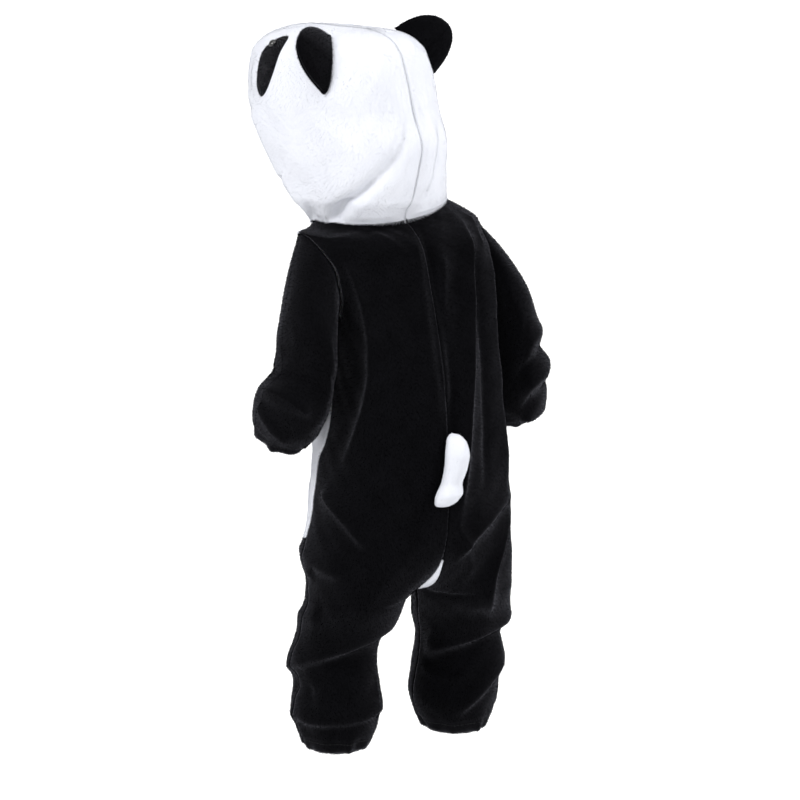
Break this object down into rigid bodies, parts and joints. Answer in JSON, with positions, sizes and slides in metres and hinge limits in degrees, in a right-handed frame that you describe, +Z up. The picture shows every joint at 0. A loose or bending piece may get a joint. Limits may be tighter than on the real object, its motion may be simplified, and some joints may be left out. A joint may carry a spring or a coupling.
{
  "type": "hooded toddler romper",
  "caption": "Hooded plush romper cut as a panda, worn and hollow: white hood and belly, black back, sleeves and legs, stuffed ears and tail, zip up the front.",
  "frame": {"origin": "middle of the neck opening, level with the shoulders that carry the garment", "axes": "+Z up along the worn garment, -Y out of its front, +X to the wearer's left"},
  "size_m": [0.3487, 0.3238, 0.7983],
  "materials": {
    "plush_black": "short plush pile, matt with a soft sheen",
    "plush_white": "short plush pile, matt",
    "zip_tape": "woven tape",
    "zip_metal": "satin"
  },
  "bodies": {
    "garment": {"hood_left": "plush_white", "hood_right": "plush_white", "ear_left": "plush_black", "ear_right": "plush_black", "eye_patch_left": "plush_black", "eye_patch_right": "plush_black", "nose_patch": "plush_black", "back_left": "plush_black", "back_right": "plush_black", "front_left": "plush_white", "front_right": "plush_white", "leg_front_left": "plush_black", "leg_front_right": "plush_black", "sleeve_left": "plush_black", "sleeve_right": "plush_black", "crotch_gusset": "plush_white", "tail": "plush_white", "zip_tape_left": "zip_tape", "zip_tape_right": "zip_tape", "zip_slider": "zip_metal"},
    "pull": {"zip_pull": "zip_metal"}
  },
  "joints": [
    {"name": "pull_swing", "type": "hinge", "parent": "garment", "child": "pull", "pos_m": [0.00455, -0.11333, -0.03406], "axis": [-0.9047, -0.0289, 0.425], "range_deg": [0, 110]}
  ]
}
